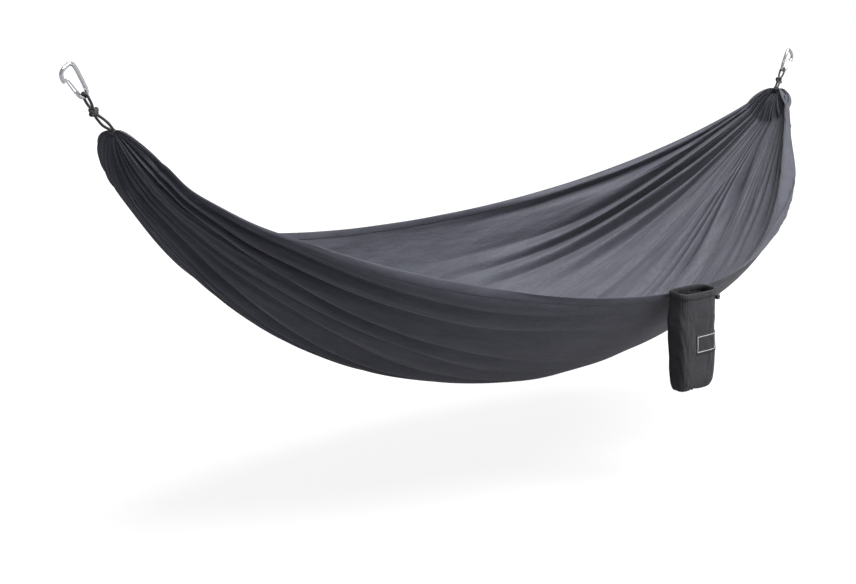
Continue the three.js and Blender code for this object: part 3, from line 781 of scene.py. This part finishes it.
def turned(name, profile, centre, material, body, slot, *nodes):
    """A solid of revolution about Y through centre, from (radius, y) pairs."""
    sides = 40
    points = [(centre.x + r * math.cos(a), y, centre.z + r * math.sin(a))
              for r, y in profile for a in np.linspace(0, 2 * math.pi, sides, endpoint=False)]
    faces = grid_faces(len(profile), sides, wrap=True) + cap_faces(len(profile), sides)
    made = new_object(name, points, faces, np.array([(p[1], 0) for p in points]))
    return finish_piece(made, material, body, slot, *nodes)


def box_of(node):
    """A node's least and greatest y, the middle of its box, and its radius about Y."""
    low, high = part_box(node)
    return low.y, high.y, (low + high) / 2, (high.x - low.x) / 2


def make_lock():
    """The cord lock: a barrel with seven grip grooves, its button, and the spring under that."""
    start, stop, centre, r = box_of("cord_lock_barrel")
    profile = [(r * 0.82, start), (r * 0.95, start + 0.0006), (r, start + 0.002)]
    for k in range(7):
        y = start + 0.005 + 0.0022 * k
        profile += [(r, y), (r * 0.93, y + 0.0006), (r * 0.93, y + 0.0012), (r, y + 0.0016)]
    profile += [(r, stop - 0.002), (r * 0.95, stop - 0.0006), (r * 0.8, stop), (r * 0.7, stop)]
    turned("lock_barrel", profile, centre, PLASTIC, "cord_lock", "lock_plastic", "cord_lock_barrel")
    start, stop, centre, r = box_of("cord_lock_button")
    profile = [(r * 0.8, start), (r, start + 0.0008), (r, stop - 0.0012), (r * 0.86, stop - 0.0003),
               (r * 0.4, stop)]
    turned("lock_button_cap", profile, centre, PLASTIC, "lock_button", "lock_plastic", "cord_lock_button")
    start, stop, centre, r = box_of("cord_lock_spring")
    wire_r, whole = 0.0004, 5 * 2 * math.pi
    coil = [(centre.x + (r - wire_r) * math.cos(a), start + (stop - start) * a / whole,
             centre.z + (r - wire_r) * math.sin(a)) for a in np.linspace(0, whole, 90)]
    made = sweep("lock_spring", coil, 300, wire_r, 8)
    finish_piece(made, STEEL, "cord_lock", "gate_wire", "cord_lock_spring")
    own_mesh(made)


def label_material():
    """Black weave with a thin pale border, drawn over the label's own coordinates from 0 to 1."""
    black, pale = (0.01, 0.01, 0.012), (0.42, 0.42, 0.44)
    material, tree, shader = new_material("woven_label", black, 0.75)
    cut = add(tree, "ShaderNodeUVMap").outputs["UV"]
    apart = add(tree, "ShaderNodeSeparateXYZ")
    tree.links.new(cut, apart.inputs[0])
    outside, inside = [], []
    for axis, inset, width in (("X", 0.05, 0.02), ("Y", 0.09, 0.036)):
        off = calculate(tree, "ABSOLUTE", calculate(tree, "SUBTRACT", apart.outputs[axis], 0.5))
        outside.append(calculate(tree, "LESS_THAN", off, 0.5 - inset))
        inside.append(calculate(tree, "LESS_THAN", off, 0.5 - inset - width))
    outer = calculate(tree, "MULTIPLY", *outside)
    inner = calculate(tree, "MULTIPLY", *inside)
    vary(tree, shader, calculate(tree, "SUBTRACT", outer, inner), black, pale, 0, 1)
    bump(tree, shader, noise_on(tree, scaled(tree, cut, (260, 30, 1)), 1.0, 2.0), 0.0003, 0.6)
    return material


LABEL = label_material()
STITCH = new_material("stitching_thread", (0.075, 0.077, 0.085), 0.55)[0]


# --- camera, floor and light ---
FLOOR, FLOOR_HALF = -0.95, 30
AMBIENT, KEY, FILL, FLOOR_GLOW = 0.42, 7.6, 14, 0.87


def place_in_scene(name, data):
    made = bpy.data.objects.new(name, data)
    bpy.context.scene.collection.objects.link(made)
    return made


def make_camera():
    data = bpy.data.cameras.new("camera")
    data.lens, data.sensor_width = 77.2, 36
    data.shift_x, data.shift_y = 0.003, -0.007
    data.clip_end = 60
    made = place_in_scene("camera", data)
    yaw, pitch, roll = 0.8951, 0.1444, 0.0059
    turn = Matrix.Rotation(-yaw, 3, "Z") @ Matrix.Rotation(math.pi / 2 - pitch, 3, "X")
    made.rotation_euler = (turn @ Matrix.Rotation(roll, 3, "Z")).to_euler()
    made.location = (-3.4955, -2.5343, 0.086)
    bpy.context.scene.camera = made


def make_lights():
    """A broad key light from above on the near side, and a square fill from lower on that side."""
    data = bpy.data.lights.new("key", "SUN")
    data.energy, data.angle = KEY, math.radians(48)
    key = place_in_scene("key", data)
    key.rotation_euler = Vector((-0.12, 0.41, -0.90)).to_track_quat("-Z", "Y").to_euler()
    data = bpy.data.lights.new("fill", "AREA")
    data.shape, data.size, data.energy = "SQUARE", 2.6, FILL
    fill = place_in_scene("fill", data)
    fill.location = (2.2, -3.7, 0.1)
    aim = Vector((0, 0, -0.35)) - fill.location
    fill.rotation_euler = aim.to_track_quat("-Z", "Y").to_euler()


def make_floor():
    """Pale paper, which shows nearly white and bounces little light back up."""
    material, tree, shader = new_material("floor_paper", (0.9, 0.9, 0.9), 0.95)
    seen = add(tree, "ShaderNodeLightPath").outputs["Is Camera Ray"]
    vary(tree, shader, seen, (0.25, 0.25, 0.26), (0.1, 0.1, 0.1), 0, 1)
    shader.inputs["Emission Color"].default_value = (1, 1, 1, 1)
    glow = calculate(tree, "MULTIPLY", seen, FLOOR_GLOW)
    tree.links.new(glow, shader.inputs["Emission Strength"])
    corners = [(x, y, FLOOR) for x, y in ((-1, -1), (-1, 1), (1, -1), (1, 1))]
    points = [(x * FLOOR_HALF, y * FLOOR_HALF, z) for x, y, z in corners]
    floor = new_object("floor", points, [(0, 2, 3, 1)], smooth_shade=False)
    floor.data.materials.append(material)


def make_world():
    """White to the camera, and dimmer as light on the object."""
    world = bpy.data.worlds.new("studio")
    world.use_nodes = True
    tree = world.node_tree
    background = tree.nodes["Background"]
    background.inputs["Color"].default_value = (1, 1, 1, 1)
    seen = add(tree, "ShaderNodeLightPath").outputs["Is Camera Ray"]
    tree.links.new(remap(tree, seen, (0, 1), (AMBIENT, 1)), background.inputs["Strength"])
    bpy.context.scene.world = world
    bpy.context.scene.view_settings.view_transform = "Standard"


make_camera()
make_floor()
make_world()
make_lights()
make_bed()
for end in SIDE:
    make_casing(end)
    make_strands(end)
    make_knot(end)
    make_bight(end)
    make_carabiner(end)
make_sack()
make_tab()
make_label()
make_drawcord()
make_lock()
